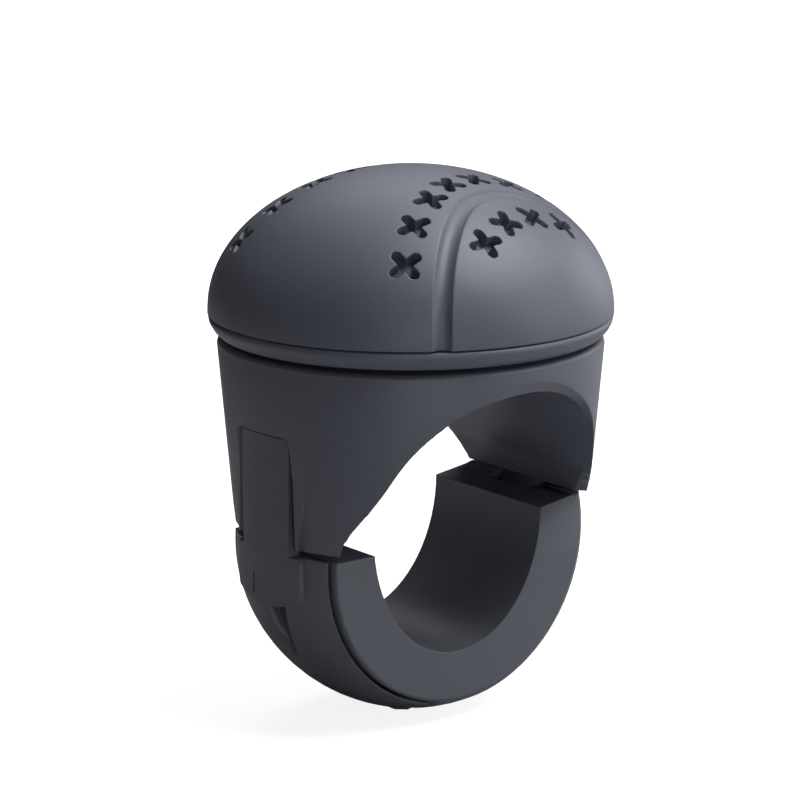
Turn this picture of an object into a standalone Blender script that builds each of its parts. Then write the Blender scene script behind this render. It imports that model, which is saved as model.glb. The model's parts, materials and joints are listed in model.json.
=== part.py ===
# Steering wheel spinner knob: a domed hand knob that turns on a ball bearing above an arched holder.
# A hinged clamp ring closes the arch round the rim of a wheel, and a latch strap locks it.
# Lengths are in millimetres and are turned to metres where a mesh is made.
# The bore for the wheel rim runs along Y and its centre is the origin. The dome points to +Z.
# The latch is on the -X side and the hinge is on the +X side.
import math

import bmesh
import bpy
from mathutils import Matrix, Vector

MM = 0.001
GAP = 0.3

# Holder
ARCH_R = 20.0
ARCH_Z = 0.6
ARCH_PINCH = 0.65
ARCH_FLARE = 1.5
FLARE_DEPTH = 1.3
CONE_R = ARCH_R + 4.75
CONE_RISE = 0.085
TOP_Z = ARCH_Z + ARCH_R + 3.9
LEG_Z = -1.3

# Dome
KNOB_R = 28.1
DOME_H = 19.6
COVER_WALL = 2.4
BASE_BOTTOM = TOP_Z + 0.7
SEAM_Z = BASE_BOTTOM + 2.75
DOME_Z = SEAM_Z + 0.25

# Ball bearing of 6 mm bore, 19 mm outside and 6 mm wide
RACE_OUT = 9.5
RACE_BORE = 3.0
RACE_LOW = TOP_Z + 2.5
RACE_WIDE = 6.0
RACE_MID = RACE_LOW + RACE_WIDE / 2
BALL_R = 1.75
PITCH_R = 6.25
TRACK_R = BALL_R + GAP
BALLS = 7

# Base of the knob
BASE_TOP = SEAM_Z - GAP
LIP_R = KNOB_R - 2.8
LIP_WALL = 1.5
LIP_TOP = SEAM_Z + 2.05
HUB_BORE = RACE_OUT + GAP
HUB_WALL = 2.8
HUB_TOP = RACE_LOW + 9.0

# Clamp ring
BALL_CROWN = CONE_R
CROWN_X = -0.3
CROWN_Z = -3.8
RING_HALF = 11.8
SEAT_X = -0.3
SEAT_Z = -3.9
SEAT_R = BALL_CROWN - 3.2
BORE_X = -0.8
BORE_HALF_X = ARCH_R - 5.4
BORE_HALF_Z = SEAT_R - 3.15
RING_LEFT_TOP = -2.3

# Hinge and latch pins
HINGE = (ARCH_R + 0.95, -3.1)
HINGE_KNUCKLE = 3.0
HINGE_HALF = 4.5
LATCH = (-1.6, CROWN_Z - BALL_CROWN + 4.55)
LATCH_KNUCKLE = 2.8
LATCH_HALF = 6.0
PIN_R = 1.0
HOLE_R = PIN_R + GAP

# Latch strap
STRAP_CROWN = BALL_CROWN + 0.05
STRAP_IN = SEAT_R + 0.4
STRAP_HALF = 11.3
STRAP_END = 257.5
TONGUE_TOP = 14.0
TONGUE_HALF = 5.4
TONGUE_FOOT = 5.0
TONGUE_FACE = CONE_R + 0.8
TONGUE_BACK = TONGUE_FACE - 2.55
PAD_HALF = 7.0
PAD_Z = -9.9

# Base screws stand between the hub and the lip
HUB_OUT = HUB_BORE + HUB_WALL
SCREW_ROOM = LIP_R - LIP_WALL - HUB_OUT
SCREW_R = HUB_OUT + SCREW_ROOM * 4 / 7
SHANK_R = 1.0

# Axle
AXLE_R = RACE_BORE - GAP
NUT_LOW = RACE_LOW + RACE_WIDE + 1.6
NUT_HIGH = NUT_LOW + 5.0
NUT_FLATS = 10.0

# Cutters reach past the outside of every piece
PAST = CONE_R + 9.25


def clear_scene():
    for old in list(bpy.data.objects):
        bpy.data.objects.remove(old, do_unlink=True)


clear_scene()
KNOB = bpy.data.collections.new("spinner_knob")
CUTTERS = bpy.data.collections.new("cutters")
bpy.context.scene.collection.children.link(KNOB)
bpy.context.scene.collection.children.link(CUTTERS)
CUTTERS.hide_render = True


def material(name, colour, roughness, metallic=0.0):
    made = bpy.data.materials.new(name)
    made.use_nodes = True
    shader = made.node_tree.nodes["Principled BSDF"]
    shader.inputs["Base Color"].default_value = (*colour, 1.0)
    shader.inputs["Roughness"].default_value = roughness
    shader.inputs["Metallic"].default_value = metallic
    made.diffuse_color = (*colour, 1.0)
    return made


def cone_r(z):
    """Radius of the holder's tapered outside at height z."""
    return CONE_R + CONE_RISE * z


def link(name, mesh, kind):
    """Puts a mesh in the scene as a piece with its material, or as a cutter when kind is None."""
    obj = bpy.data.objects.new(name, mesh)
    if kind is None:
        CUTTERS.objects.link(obj)
        obj.hide_render = True
        obj.display_type = "WIRE"
    else:
        KNOB.objects.link(obj)
        mesh.materials.append(kind)
    return obj


def lathe(name, profile, kind=None, steps=48, closed=False, about_y=None):
    """Turns a profile of (radius, height) about Z, or about a Y line through (x, z) = about_y."""
    edges = [(i, i + 1) for i in range(len(profile) - 1)]
    if closed:
        edges.append((len(profile) - 1, 0))
    mesh = bpy.data.meshes.new(name)
    mesh.from_pydata([(r * MM, 0.0, z * MM) for r, z in profile], edges, [])
    obj = link(name, mesh, kind)
    turn = obj.modifiers.new("turn", "SCREW")
    turn.steps = steps
    turn.render_steps = steps
    turn.use_merge_vertices = True
    turn.merge_threshold = 0.00002
    turn.use_smooth_shade = True
    if about_y is not None:
        obj.matrix_world = Matrix.Translation(
            Vector((about_y[0], 0.0, about_y[1])) * MM
        ) @ Matrix.Rotation(math.radians(-90.0), 4, "X")
    return obj


def solid(name, bm, kind=None, smooth=False):
    bmesh.ops.recalc_face_normals(bm, faces=bm.faces)
    mesh = bpy.data.meshes.new(name)
    bm.to_mesh(mesh)
    bm.free()
    if smooth:
        for face in mesh.polygons:
            face.use_smooth = True
    return link(name, mesh, kind)


def prism(name, outline, axis, low, high, kind=None):
    """Extrudes an outline along an axis. It is given as (x, z) for Y, (y, z) for X and (x, y) for Z."""
    place = {
        "X": lambda u, v, w: (w, u, v),
        "Y": lambda u, v, w: (u, w, v),
        "Z": lambda u, v, w: (u, v, w),
    }[axis]
    bm = bmesh.new()
    ends = []
    for w in (low, high):
        ends.append([bm.verts.new(Vector(place(u, v, w)) * MM) for u, v in outline])
    count = len(outline)
    bm.faces.new(ends[0])
    bm.faces.new(ends[1])
    for i in range(count):
        j = (i + 1) % count
        bm.faces.new((ends[0][i], ends[0][j], ends[1][j], ends[1][i]))
    return solid(name, bm, kind)


def rod(name, at, radius, low, high, axis="Z", kind=None, sides=24):
    """A round rod or drill, centred on at in the plane across its axis."""
    outline = arc(at, radius, 0.0, 360.0 * (1 - 1 / sides), sides - 1)
    return prism(name, outline, axis, low, high, kind)


def arc(centre, radius, first, last, parts):
    """Points of an arc in degrees, both ends included."""
    points = []
    for i in range(parts + 1):
        angle = math.radians(first + (last - first) * i / parts)
        points.append(
            (centre[0] + radius * math.cos(angle), centre[1] + radius * math.sin(angle))
        )
    return points


def join(target, cutter, operation="DIFFERENCE"):
    step = target.modifiers.new(operation.lower() + " " + cutter.name, "BOOLEAN")
    step.operation = operation
    step.solver = "EXACT"
    step.object = cutter


def cut(target, *cutters):
    for cutter in cutters:
        join(target, cutter)


def add(target, *cutters):
    for cutter in cutters:
        join(target, cutter, "UNION")


def soften(obj, width, parts=2, angle=35.0):
    """Rounds the sharp edges of a piece."""
    step = obj.modifiers.new("round edges", "BEVEL")
    step.width = width * MM
    step.segments = parts
    step.limit_method = "ANGLE"
    step.angle_limit = math.radians(angle)


def dome_point(azimuth, elevation, out=0.0):
    """Point of the dome seen from the middle of its foot at these angles, raised out of it along the normal."""
    slope = math.tan(elevation)
    ring = 1.0 / math.sqrt(1.0 / KNOB_R**2 + slope**2 / DOME_H**2)
    point = Vector((ring * math.cos(azimuth), ring * math.sin(azimuth), ring * slope))
    normal = Vector((point.x / KNOB_R**2, point.y / KNOB_R**2, point.z / DOME_H**2))
    normal.normalize()
    return point + Vector((0, 0, DOME_Z)) + normal * out, normal


# Materials, one for each kind of moulding and metal
SHELL = material("graphite_shell", (0.060, 0.063, 0.075), 0.5)
CLAMP = material("graphite_clamp", (0.045, 0.047, 0.056), 0.5)
STEEL = material("bearing_steel", (0.62, 0.63, 0.65), 0.25, 1.0)
ZINC = material("zinc_plated_steel", (0.55, 0.56, 0.58), 0.38, 1.0)
CAGE = material("nylon_cage", (0.42, 0.33, 0.20), 0.5)


# Cover of the knob: a shell with three screw bosses inside and ball-seam grooves with cross stitches outside
def ellipse_profile(radius, height, foot, rings):
    """Quarter ellipse from its top on the axis down to its foot."""
    return [
        (
            radius * math.sin(math.pi / 2 * i / rings),
            foot + height * math.cos(math.pi / 2 * i / rings),
        )
        for i in range(rings + 1)
    ]


cover = lathe(
    "knob_cover",
    ellipse_profile(KNOB_R, DOME_H, DOME_Z, 14) + [(KNOB_R, SEAM_Z), (0.0, SEAM_Z)],
    SHELL,
    steps=60,
)
hollow = lathe(
    "cover_hollow",
    ellipse_profile(KNOB_R - COVER_WALL, DOME_H - COVER_WALL, DOME_Z, 8)
    + [(KNOB_R - COVER_WALL, SEAM_Z - 2), (0.0, SEAM_Z - 2)],
    steps=36,
)
SCREW_ANGLES = (30.0, 150.0, 270.0)
BOSS_R = SCREW_ROOM * 15 / 56
PILOT_TOP = DOME_Z + 8.3
for number, degrees in enumerate(SCREW_ANGLES, 1):
    spot = arc((0.0, 0.0), SCREW_R, degrees, degrees, 1)[0]
    boss = rod(f"boss_{number}", spot, BOSS_R, SEAM_Z - 3, DOME_Z + DOME_H, sides=16)
    cut(hollow, boss)
cut(cover, hollow)
for number, degrees in enumerate(SCREW_ANGLES, 1):
    spot = arc((0.0, 0.0), SCREW_R, degrees, degrees, 1)[0]
    pilot = rod(f"pilot_{number}", spot, SHANK_R + GAP, SEAM_Z - 1, PILOT_TOP, sides=12)
    cut(cover, pilot)

# Each seam is a superellipse in azimuth and elevation, open at the foot, and the second one is opposite
SEAM_TURN = -77.3
SEAM_WIDE = 42.0
SEAM_TALL = 52.0
SEAM_POWER = 2.45
SEAM_CUT_R = 1.56
SEAM_CUT_OUT = 0.86


def seam_path(turn, parts=29):
    """Centre line of the groove cutter from foot to foot."""
    points = []
    for i in range(parts + 1):
        angle = math.pi * i / parts
        wide = math.copysign(abs(math.cos(angle)) ** (2 / SEAM_POWER), math.cos(angle))
        tall = math.sin(angle) ** (2 / SEAM_POWER)
        azimuth = math.radians(turn + SEAM_WIDE * wide)
        points.append(
            dome_point(azimuth, math.radians(SEAM_TALL * tall), SEAM_CUT_OUT)[0]
        )
    drop = Vector((0, 0, 1.6))
    return [points[0] - drop] + points + [points[-1] - drop]


def pipe(name, path, radius, sides):
    """A round cutter swept along a path, with flat ends."""
    curve = bpy.data.curves.new(name, "CURVE")
    curve.dimensions = "3D"
    curve.bevel_depth = radius * MM
    curve.bevel_resolution = (sides - 4) // 2
    curve.use_fill_caps = True
    line = curve.splines.new("POLY")
    line.points.add(len(path) - 1)
    for point, at in zip(line.points, path):
        point.co = (*(at * MM), 1.0)
    carrier = bpy.data.objects.new(name + "_line", curve)
    mesh = bpy.data.meshes.new_from_object(carrier)
    bpy.data.objects.remove(carrier)
    bm = bmesh.new()
    bm.from_mesh(mesh)
    bmesh.ops.remove_doubles(bm, verts=bm.verts, dist=1e-6)
    bpy.data.meshes.remove(mesh)
    return solid(name, bm)


# Crosses stand in an outer row of eight and an inner row of four along each seam
CROSS_LONG = 5.2
CROSS_WIDE = 1.25
CROSS_DEEP = 1.4
CROSS_SPOTS = (
    (53.7, 23.9),
    (50.7, 38.6),
    (39.5, 53.0),
    (19.5, 63.6),
    (22.1, 30.3),
    (8.6, 37.0),
)


def cross_outline():
    """One plus sign with rounded ends, turned by 45 degrees."""
    half = CROSS_WIDE / 2
    reach = CROSS_LONG / 2 - half
    points = []
    for quarter in range(4):
        middle = 90.0 * quarter + 45.0
        tip = (
            reach * math.cos(math.radians(middle)),
            reach * math.sin(math.radians(middle)),
        )
        points += arc(tip, half, middle - 90.0, middle + 90.0, 3)
        inner = half * math.sqrt(2.0)
        corner = math.radians(middle + 45.0)
        points.append((inner * math.cos(corner), inner * math.sin(corner)))
    return points


def cross_cutter(name, turns):
    """All the crosses as one cutter, each square to the dome and in line with its seam."""
    outline = cross_outline()
    count = len(outline)
    bm = bmesh.new()
    for turn in turns:
        for side in (-1, 1):
            for wide, tall in CROSS_SPOTS:
                azimuth = math.radians(turn + side * wide)
                at, normal = dome_point(azimuth, math.radians(tall))
                up = Vector((0, 0, 1)) - normal * normal.z
                up.normalize()
                across = up.cross(normal)
                lean = math.radians(side * wide * math.sin(math.radians(tall)))
                along = up * math.cos(lean) + across * math.sin(lean)
                across = along.cross(normal)
                rings = []
                for height in (-CROSS_DEEP, 1.6):
                    rings.append(
                        [
                            bm.verts.new((at + across * u + along * v + normal * height) * MM)
                            for u, v in outline
                        ]
                    )
                bm.faces.new(rings[0])
                bm.faces.new(rings[1])
                for i in range(count):
                    j = (i + 1) % count
                    bm.faces.new((rings[0][i], rings[0][j], rings[1][j], rings[1][i]))
    return solid(name, bm)


for number, turn in enumerate((SEAM_TURN, SEAM_TURN + 180.0), 1):
    cut(cover, pipe(f"seam_{number}", seam_path(turn), SEAM_CUT_R, 12))
cut(cover, cross_cutter("crosses", (SEAM_TURN, SEAM_TURN + 180.0)))

# Base of the knob: rim skirt, floor, spigot lip and the hub that holds the bearing
CLIP_R = HUB_BORE + 1.2
CLIP_LOW = RACE_LOW + RACE_WIDE
CLIP_HIGH = CLIP_LOW + 1.6
EYE_R = 8.6
base = lathe(
    "knob_base",
    [
        (KNOB_R - 0.05, BASE_TOP),
        (KNOB_R - 0.2, BASE_BOTTOM + 1.6),
        (KNOB_R - 0.7, BASE_BOTTOM + 0.7),
        (KNOB_R - 1.4, BASE_BOTTOM),
        (EYE_R, BASE_BOTTOM),
        (EYE_R, RACE_LOW - GAP),
        (HUB_BORE, RACE_LOW - GAP),
        (HUB_BORE, CLIP_LOW),
        (CLIP_R, CLIP_LOW),
        (CLIP_R, CLIP_HIGH),
        (HUB_BORE, CLIP_HIGH),
        (HUB_BORE, HUB_TOP),
        (HUB_OUT, HUB_TOP),
        (HUB_OUT, BASE_TOP),
        (LIP_R - LIP_WALL, BASE_TOP),
        (LIP_R - LIP_WALL, LIP_TOP),
        (LIP_R, LIP_TOP),
        (LIP_R, BASE_TOP),
    ],
    SHELL,
    steps=60,
    closed=True,
)
HEAD_R = 2.2
HEAD_LOW = BASE_BOTTOM + 0.15
HEAD_HIGH = HEAD_LOW + 0.9
screws = []
for number, degrees in enumerate(SCREW_ANGLES, 1):
    spot = arc((0.0, 0.0), SCREW_R, degrees, degrees, 1)[0]
    sink = rod(
        f"sink_{number}", spot, HEAD_R + GAP, BASE_BOTTOM - 1, HEAD_HIGH + GAP, sides=16
    )
    way = rod(f"way_{number}", spot, SHANK_R + GAP, BASE_BOTTOM - 1, BASE_TOP + 1, sides=12)
    cut(base, sink, way)
    screw = lathe(
        f"base_screw_{number}",
        [
            (0.0, PILOT_TOP - GAP),
            (SHANK_R - 0.4, PILOT_TOP - GAP),
            (SHANK_R, PILOT_TOP - GAP - 0.8),
            (SHANK_R, HEAD_HIGH),
            (HEAD_R, HEAD_HIGH),
            (HEAD_R, HEAD_LOW + 0.3),
            (HEAD_R - 0.3, HEAD_LOW),
            (0.0, HEAD_LOW),
        ],
        ZINC,
        steps=16,
    )
    screw.location = Vector((*spot, 0.0)) * MM
    for turn, (u, v) in enumerate(((1.3, 0.3), (0.3, 1.3)), 1):
        slot = prism(
            f"drive_{number}_{turn}",
            [
                (spot[0] - u, spot[1] - v),
                (spot[0] + u, spot[1] - v),
                (spot[0] + u, spot[1] + v),
                (spot[0] - u, spot[1] + v),
            ],
            "Z",
            HEAD_LOW - 1,
            HEAD_LOW + 0.6,
        )
        cut(screw, slot)
    screws.append(screw)


# Ball bearing: two races with round tracks, seven balls in a cage, and a shield over each side
def track(radius, side):
    """Track of a race as an arc of the cutter radius round the pitch circle, from its top edge down."""
    reach = math.degrees(math.acos(min(1.0, abs(radius - PITCH_R) / TRACK_R)))
    middle = 0.0 if side > 0 else 180.0
    turn = reach if side > 0 else -reach
    return arc((PITCH_R, RACE_MID), TRACK_R, middle + turn, middle - turn, 6)


RACE_HIGH = RACE_LOW + RACE_WIDE
INNER_SHOULDER = 4.6
OUTER_SHOULDER = 7.9
inner_race = lathe(
    "bearing_inner_race",
    [(RACE_BORE, RACE_HIGH), (INNER_SHOULDER, RACE_HIGH)]
    + track(INNER_SHOULDER, -1)
    + [(INNER_SHOULDER, RACE_LOW), (RACE_BORE, RACE_LOW)],
    STEEL,
    steps=36,
    closed=True,
)
outer_race = lathe(
    "bearing_outer_race",
    [
        (OUTER_SHOULDER, RACE_HIGH),
        (RACE_OUT - 0.3, RACE_HIGH),
        (RACE_OUT, RACE_HIGH - 0.3),
        (RACE_OUT, RACE_LOW + 0.3),
        (RACE_OUT - 0.3, RACE_LOW),
        (OUTER_SHOULDER, RACE_LOW),
    ]
    + track(OUTER_SHOULDER, 1)[::-1],
    STEEL,
    steps=36,
    closed=True,
)
SHIELD = 0.25
shields = []
for name, low in (("lower", RACE_LOW + 0.05), ("upper", RACE_HIGH - 0.05 - SHIELD)):
    shields.append(
        lathe(
            f"bearing_{name}_shield",
            [
                (INNER_SHOULDER + GAP, low + SHIELD),
                (OUTER_SHOULDER - GAP, low + SHIELD),
                (OUTER_SHOULDER - GAP, low),
                (INNER_SHOULDER + GAP, low),
            ],
            STEEL,
            steps=32,
            closed=True,
        )
    )
CAGE_HALF = RACE_WIDE / 2 - 0.05 - SHIELD - GAP
cage = lathe(
    "bearing_cage",
    [
        (INNER_SHOULDER + 0.7, RACE_MID + CAGE_HALF),
        (OUTER_SHOULDER - 0.7, RACE_MID + CAGE_HALF),
        (OUTER_SHOULDER - 0.7, RACE_MID - CAGE_HALF),
        (INNER_SHOULDER + 0.7, RACE_MID - CAGE_HALF),
    ],
    CAGE,
    steps=42,
    closed=True,
)
balls = []
for number in range(1, BALLS + 1):
    x, y = arc((0.0, 0.0), PITCH_R, 360.0 * number / BALLS, 0.0, 1)[0]
    at = Matrix.Translation(Vector((x, y, RACE_MID)) * MM)
    bm = bmesh.new()
    bmesh.ops.create_icosphere(bm, subdivisions=2, radius=TRACK_R * MM, matrix=at)
    cut(cage, solid(f"pocket_{number}", bm))
    bm = bmesh.new()
    bmesh.ops.create_icosphere(bm, subdivisions=2, radius=BALL_R * MM, matrix=at)
    balls.append(solid(f"bearing_ball_{number}", bm, STEEL, smooth=True))
clip = lathe(
    "bearing_retaining_ring",
    [
        (OUTER_SHOULDER + 1.0, CLIP_HIGH - GAP),
        (CLIP_R - GAP, CLIP_HIGH - GAP),
        (CLIP_R - GAP, CLIP_LOW + GAP),
        (OUTER_SHOULDER + 1.0, CLIP_LOW + GAP),
    ],
    STEEL,
    steps=40,
    closed=True,
)
cut(
    clip,
    prism(
        "clip_mouth",
        [(2, -2.6), (14, -2.6), (14, 2.6), (2, 2.6)],
        "Z",
        CLIP_LOW - 1,
        CLIP_HIGH + 1,
    ),
)

# Holder: a tapered barrel with an arch through it, flared at both mouths, and a boss for the bearing
BOSS_TOP = RACE_LOW - GAP
holder = lathe(
    "holder",
    [
        (0.0, BOSS_TOP),
        (INNER_SHOULDER - 0.2, BOSS_TOP),
        (INNER_SHOULDER - 0.2, TOP_Z + 1.1),
        (EYE_R - 2.1, TOP_Z + 1.1),
        (EYE_R - 2.1, TOP_Z),
    ]
    + arc((cone_r(TOP_Z) - 1.0, TOP_Z - 1.0), 1.0, 90.0, 5.0, 4)
    + [(cone_r(LEG_Z), LEG_Z), (0.0, LEG_Z)],
    SHELL,
    steps=80,
)


def bump(value, middle, spread):
    """One at the middle and falling to nothing on both sides."""
    return math.exp(-(((value - middle) / spread) ** 2))


def flare_cutter():
    """The arch's cutter: a tube along Y that opens out where it leaves the tapered barrel.

    With s the degrees from the crown, the arch's radius is ARCH_R, less ARCH_PINCH round s = 68. The
    mouth widens most at the crown and at the foot of the legs. Its outer edge lies on the barrel, at
    y = sqrt(cone_r(z)^2 - x^2), and its inner edge is FLARE_DEPTH or a little more short of that.
    """
    steps = 96
    bm = bmesh.new()
    inner = []
    outer = []
    for i in range(steps):
        t = 2 * math.pi * i / steps
        s = abs(math.degrees(math.atan2(math.cos(t), math.sin(t))))
        foot = bump(s, 97.0, 14.0)
        near = ARCH_R - ARCH_PINCH * bump(s, 68.0, 15.0)
        wide = 0.3 + (ARCH_FLARE - 0.3) * bump(s, 0.0, 30.0) + 1.3 * foot
        deep = FLARE_DEPTH + 0.4 * foot
        edge = near + wide
        leave = math.sqrt(cone_r(ARCH_Z + edge * math.sin(t)) ** 2 - (edge * math.cos(t)) ** 2)
        far = near + 3.3 * wide
        inner.append((near * math.cos(t), ARCH_Z + near * math.sin(t), leave - deep))
        outer.append((far * math.cos(t), ARCH_Z + far * math.sin(t), leave + 2.3 * deep))
    rows = []
    for row, side in ((outer, -1), (inner, -1), (inner, 1), (outer, 1)):
        rows.append([bm.verts.new(Vector((x, side * y, z)) * MM) for x, z, y in row])
    for near, far in zip(rows, rows[1:]):
        for i in range(steps):
            j = (i + 1) % steps
            bm.faces.new((near[i], near[j], far[j], far[i]))
    for row, side in ((rows[0], -1), (rows[-1], 1)):
        hub = bm.verts.new(Vector((0, side * (PAST - 2.0), ARCH_Z)) * MM)
        for i in range(steps):
            bm.faces.new((row[i], row[(i + 1) % steps], hub))
    return solid("arch", bm)


def raised_face(name, outline, radius, low, high, inside):
    """A raised area of the outside, with this outline seen from -X and a face turned about Z."""
    blank = prism(name, outline, "X", -radius - 4, -inside)
    turned = rod(name + "_turned", (0.0, 0.0), radius, low, high, sides=144)
    join(blank, turned, "INTERSECT")
    return blank


cheek = raised_face(
    "cheek",
    [(-8.4, 10.5), (-6.8, LEG_Z), (6.8, LEG_Z), (8.4, 10.5)],
    TONGUE_FACE - 0.05,
    LEG_Z,
    10.5,
    TONGUE_BACK - GAP,
)
add(holder, cheek)
cut(holder, flare_cutter())
NOTCH_HALF = TONGUE_HALF + 0.5
NOTCH_FOOT = NOTCH_HALF + 0.5
CORNER = 0.7
notch = prism(
    "notch",
    [(-NOTCH_FOOT - CORNER, LEG_Z - 2), (NOTCH_FOOT + CORNER, LEG_Z - 2)]
    + arc((NOTCH_FOOT + CORNER, LEG_Z + CORNER), CORNER, 270.0, 180.0, 4)
    + arc((NOTCH_HALF - 1.0, TONGUE_TOP + GAP - 1.0), 1.0, 0.0, 90.0, 3)
    + arc((1.0 - NOTCH_HALF, TONGUE_TOP + GAP - 1.0), 1.0, 90.0, 180.0, 3)
    + arc((-NOTCH_FOOT - CORNER, LEG_Z + CORNER), CORNER, 0.0, -90.0, 4),
    "X",
    -TONGUE_FACE - 4.55,
    -TONGUE_BACK + GAP,
)
cut(holder, notch)

# Hinge side of the holder: its foot follows the clamp's knuckle, and a lug goes down to the pin
KNUCKLE_OUT = 4.05
foot = prism(
    "foot",
    [(HINGE[0] - 5.95, HINGE[1] + KNUCKLE_OUT + 0.35)]
    + arc(HINGE, KNUCKLE_OUT + 0.35, 90.0, 0.0, 10)
    + [
        (HINGE[0] + 11.05, HINGE[1]),
        (HINGE[0] + 11.05, HINGE[1] - 6),
        (HINGE[0] - 5.95, HINGE[1] - 6),
    ],
    "Y",
    -CONE_R - 3.35,
    CONE_R + 3.35,
)
cut(holder, foot)
lug = prism(
    "lug",
    arc(HINGE, HINGE_KNUCKLE, 150.0, 360.0, 14)
    + [(HINGE[0] + HINGE_KNUCKLE, 2.4), (ARCH_R + 0.6, 2.4), (ARCH_R + 0.2, 0.8)],
    "Y",
    -HINGE_HALF,
    HINGE_HALF,
)
add(holder, lug)
cut(holder, rod("lug_eye", HINGE, HOLE_R, -HINGE_HALF - 1, HINGE_HALF + 1, "Y", sides=20))

# Axle: countersunk screw up through the crown of the arch, with washer and nut above the bearing
HEAD_FLAT = ARCH_Z + ARCH_R + 0.3
HEAD_WIDE = 5.5
CONE_FOOT = HEAD_FLAT + 0.6
CONE_HEAD = CONE_FOOT + HEAD_WIDE - AXLE_R
AXLE_TOP = NUT_HIGH + 1.4
sink = lathe(
    "axle_sink",
    [
        (0.0, BOSS_TOP + 1),
        (AXLE_R + GAP, BOSS_TOP + 1),
        (AXLE_R + GAP, CONE_HEAD + 0.1),
        (HEAD_WIDE + GAP, CONE_FOOT + 0.1),
        (HEAD_WIDE + GAP, ARCH_Z + 15.0),
        (0.0, ARCH_Z + 15.0),
    ],
    steps=36,
)
cut(holder, sink)
axle = lathe(
    "axle_screw",
    [
        (0.0, AXLE_TOP),
        (AXLE_R - 0.5, AXLE_TOP),
        (AXLE_R, AXLE_TOP - 0.5),
        (AXLE_R, CONE_HEAD),
        (HEAD_WIDE, CONE_FOOT),
        (HEAD_WIDE, HEAD_FLAT),
        (0.0, HEAD_FLAT),
    ],
    ZINC,
    steps=32,
)
cut(axle, rod("axle_socket", (0.0, 0.0), 2.3, HEAD_FLAT - 1, HEAD_FLAT + 2.2, sides=6))
washer = lathe(
    "axle_washer",
    [
        (AXLE_R + GAP, RACE_HIGH + GAP + 1.0),
        (INNER_SHOULDER + 0.3, RACE_HIGH + GAP + 1.0),
        (INNER_SHOULDER + 0.3, RACE_HIGH + GAP),
        (AXLE_R + GAP, RACE_HIGH + GAP),
    ],
    ZINC,
    steps=32,
    closed=True,
)
NUT_R = NUT_FLATS / math.sqrt(3.0)
nut = rod("axle_nut", (0.0, 0.0), NUT_R, NUT_LOW, NUT_HIGH, kind=ZINC, sides=6)
crown = lathe(
    "nut_crown",
    [
        (0.0, NUT_HIGH + 1),
        (NUT_R - 2.2, NUT_HIGH + 1),
        (NUT_R + 0.6, NUT_HIGH - 1.2),
        (NUT_R + 0.6, NUT_LOW - 1),
        (0.0, NUT_LOW - 1),
    ],
    steps=30,
)
join(nut, crown, "INTERSECT")
cut(nut, rod("nut_bore", (0.0, 0.0), AXLE_R + GAP, NUT_LOW - 2, NUT_HIGH + 2, sides=24))


# Clamp ring: a slice of a sphere with an oval bore, a seat for the strap and a slotted hinge knuckle
def crown_profile(radius, half, edge, parts):
    """Section of the ring turned about Y, with small rounded edges, from one face to the other."""
    arc_end = math.degrees(math.asin((half - edge) / radius))
    side = arc((0.0, 0.0), radius, arc_end, -arc_end, parts)
    lip_r = math.sqrt(radius**2 - half**2) - edge
    return [(0.0, half), (lip_r, half)] + side + [(lip_r, -half), (0.0, -half)]


ring = lathe(
    "clamp_ring",
    crown_profile(BALL_CROWN, RING_HALF, 0.45, 12),
    CLAMP,
    steps=84,
    about_y=(CROWN_X, CROWN_Z),
)
bore = prism(
    "rim_bore",
    [(BORE_X + BORE_HALF_X * u, BORE_HALF_Z * v) for u, v in arc((0.0, 0.0), 1.0, 0.0, 355.0, 71)],
    "Y",
    -20,
    20,
)
above = prism(
    "ring_top",
    [(-PAST, RING_LEFT_TOP), (BORE_X, RING_LEFT_TOP), (BORE_X, -0.3), (HINGE[0] - 7.15, -0.2)]
    + arc(HINGE, KNUCKLE_OUT, 112.0, 0.0, 12)
    + [(PAST, HINGE[1]), (PAST, PAST), (-PAST, PAST)],
    "Y",
    -20,
    20,
)
STEP_X = -4.3
STEP_ANGLE = math.degrees(math.acos((STEP_X - SEAT_X) / SEAT_R))
seat = prism(
    "strap_seat",
    [(-PAST, 8.0)]
    + arc((SEAT_X, SEAT_Z), SEAT_R, 165.0, 360.0 - STEP_ANGLE, 30)
    + [(STEP_X, -PAST), (-PAST, -PAST)],
    "Y",
    -20,
    20,
)
cut(ring, bore, above, seat)
SLOT_HALF = HINGE_HALF + GAP
slot = prism(
    "hinge_slot",
    arc(HINGE, HINGE_KNUCKLE + 0.35, 180.0, 270.0, 8)
    + [
        (PAST, HINGE[1] - HINGE_KNUCKLE - 0.35),
        (PAST, 8.0),
        (HINGE[0] - HINGE_KNUCKLE - 0.35, 8.0),
    ],
    "Y",
    -SLOT_HALF,
    SLOT_HALF,
)
PIN_FRONT = -9.5
hinge_hole = rod("hinge_hole", HINGE, HOLE_R, PIN_FRONT - GAP, RING_HALF + 2, "Y", sides=20)
POCKET_HALF = LATCH_HALF + GAP
pocket = rod("latch_pocket", LATCH, LATCH_KNUCKLE + GAP, -POCKET_HALF, POCKET_HALF, "Y", sides=32)
mouth = prism(
    "latch_mouth",
    [(-12.0, LATCH[1]), (-12.0, -PAST), (LATCH[0], -PAST), LATCH],
    "Y",
    -POCKET_HALF,
    POCKET_HALF,
)
LATCH_PIN = 8.6
latch_hole = rod("latch_hole", LATCH, HOLE_R, -LATCH_PIN - GAP, RING_HALF + 2, "Y", sides=20)
cut(ring, slot, hinge_hole, pocket, mouth, latch_hole)
hinge_pin = rod("hinge_pin", HINGE, PIN_R, PIN_FRONT, RING_HALF - 0.2, "Y", ZINC, sides=20)
soften(hinge_pin, 0.2, 1)
latch_pin = rod("latch_pin", LATCH, PIN_R, -LATCH_PIN, RING_HALF - 0.6, "Y", ZINC, sides=20)
soften(latch_pin, 0.2, 1)

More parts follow.
